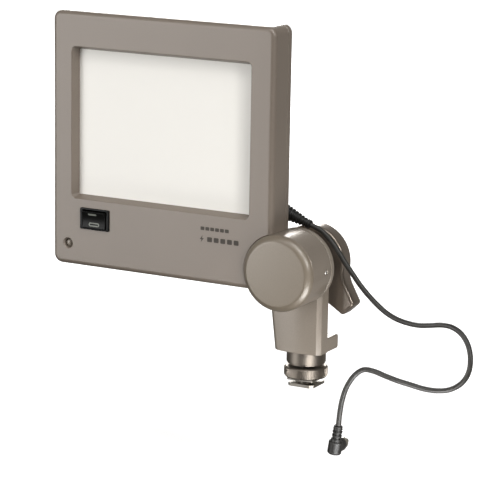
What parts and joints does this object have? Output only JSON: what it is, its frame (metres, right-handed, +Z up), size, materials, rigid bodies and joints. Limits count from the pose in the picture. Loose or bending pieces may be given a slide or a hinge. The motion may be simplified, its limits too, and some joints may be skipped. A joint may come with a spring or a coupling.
{
  "type": "flat-panel camera flash",
  "caption": "Flat-panel electronic flash with an opal diffuser, a swing hinge with clamp lever, a camera-shoe foot with lock ring, and a short sync cord with a right-angle plug.",
  "frame": {"origin": "centre of the underside of the shoe foot", "axes": "+Z up, the light faces -Y, +X towards the cord side; the swing axis lies along Y above the foot"},
  "size_m": [0.2961, 0.0652, 0.2688],
  "materials": {
    "front_paint": "satin champagne metallic paint",
    "rear_paint": "satin champagne metallic paint",
    "cap_paint": "satin champagne metallic paint",
    "hinge_paint": "satin champagne metallic paint on a casting",
    "bracket_paint": "satin champagne metallic paint on a casting",
    "ring_metal": "satin anodised",
    "foot_metal": "bare satin",
    "opal_acrylic": "satin opal",
    "reflector_metal": "bright",
    "tube_glass": "clear",
    "white_plastic": "moulded",
    "circuit_board": "lacquered",
    "capacitor_sleeve": "shrink sleeve",
    "winding_tape": "tape",
    "coil_varnish": "varnish",
    "black_plastic": "moulded",
    "switch_plastic": "moulded, semi-gloss",
    "lens_plastic": "clear dark",
    "lamp_lens": "clear orange",
    "cell_jacket": "printed jacket",
    "nickel_plate": "bright plate",
    "brass_pin": "bright",
    "steel": "bright zinc",
    "dark_washer": "dark",
    "black_rubber": "moulded satin",
    "cord_rubber": "extruded satin"
  },
  "bodies": {
    "base": {"riser_bracket": "bracket_paint", "hinge_bolt": "steel", "spring_washer": "steel", "friction_washer": "dark_washer", "lever_spacer": "dark_washer", "foot_pin": "steel", "neck_collar": "ring_metal", "shoe_foot": "foot_metal", "sync_cord": "cord_rubber", "plug_body": "black_rubber", "plug_sleeve": "nickel_plate", "plug_pin": "brass_pin"},
    "head": {"front_housing": "front_paint", "rear_housing": "rear_paint", "diffuser_panel": "opal_acrylic", "reflector_pan": "reflector_metal", "flash_tube": "tube_glass", "tube_holders": "white_plastic", "main_board": "circuit_board", "main_capacitors": "capacitor_sleeve", "transformer": "winding_tape", "trigger_coil": "coil_varnish", "sensor_board": "circuit_board", "tact_switch": "black_plastic", "sensor_holder": "black_plastic", "sensor_lens": "lens_plastic", "switch_frame": "switch_plastic", "ready_lamp": "lamp_lens", "battery_tray": "black_plastic", "battery_cells": "cell_jacket", "battery_contacts": "nickel_plate", "door_pin": "steel", "housing_screws": "steel", "head_knuckle": "hinge_paint", "knuckle_screws": "steel", "set_screw": "nickel_plate", "hinge_cap": "cap_paint", "cord_outlet": "rear_paint", "cord_boot": "black_rubber"},
    "rocker": {"rocker": "switch_plastic"},
    "test_button": {"test_button": "black_plastic"},
    "battery_door": {"battery_door": "rear_paint"},
    "clamp_lever": {"clamp_lever": "bracket_paint", "lever_nut": "steel", "lever_cap": "bracket_paint"},
    "pressure_plate": {"pressure_plate": "foot_metal"},
    "lock_ring": {"lock_ring": "ring_metal"}
  },
  "joints": [
    {"name": "panel_swing", "type": "hinge", "parent": "base", "child": "head", "pos_m": [0, -0.03, 0.0828], "axis": [0, 1, 0], "range_deg": [-60, 90], "deforming": ["sync_cord"]},
    {"name": "lever_turn", "type": "hinge", "parent": "base", "child": "clamp_lever", "pos_m": [0, 0.009, 0.0828], "axis": [0, 1, 0], "range_deg": [0, 90]},
    {"name": "plate_lift", "type": "slide", "parent": "base", "child": "pressure_plate", "axis": [0, 0, 1], "range_m": [0, 0.0014]},
    {"name": "ring_turn", "type": "hinge", "parent": "pressure_plate", "child": "lock_ring", "pos_m": [0, 0, 0.0097], "axis": [0, 0, 1], "range_deg": [0, 504]},
    {"name": "rocker_tilt", "type": "hinge", "parent": "head", "child": "rocker", "pos_m": [-0.1382, -0.0416, 0.1022], "axis": [-1, 0, 0], "range_deg": [0, 14]},
    {"name": "button_press", "type": "slide", "parent": "head", "child": "test_button", "axis": [0, -1, 0], "range_m": [0, 0.0008], "stiffness_N_per_m": 400, "springref_m": -0.001},
    {"name": "door_open", "type": "hinge", "parent": "head", "child": "battery_door", "pos_m": [-0.08, -0.0177, 0.0747], "axis": [-1, 0, 0], "range_deg": [0, 95]}
  ],
  "couplings": [
    {"joint": "ring_turn", "follows": "plate_lift", "rad_per_m": 6283.2}
  ]
}
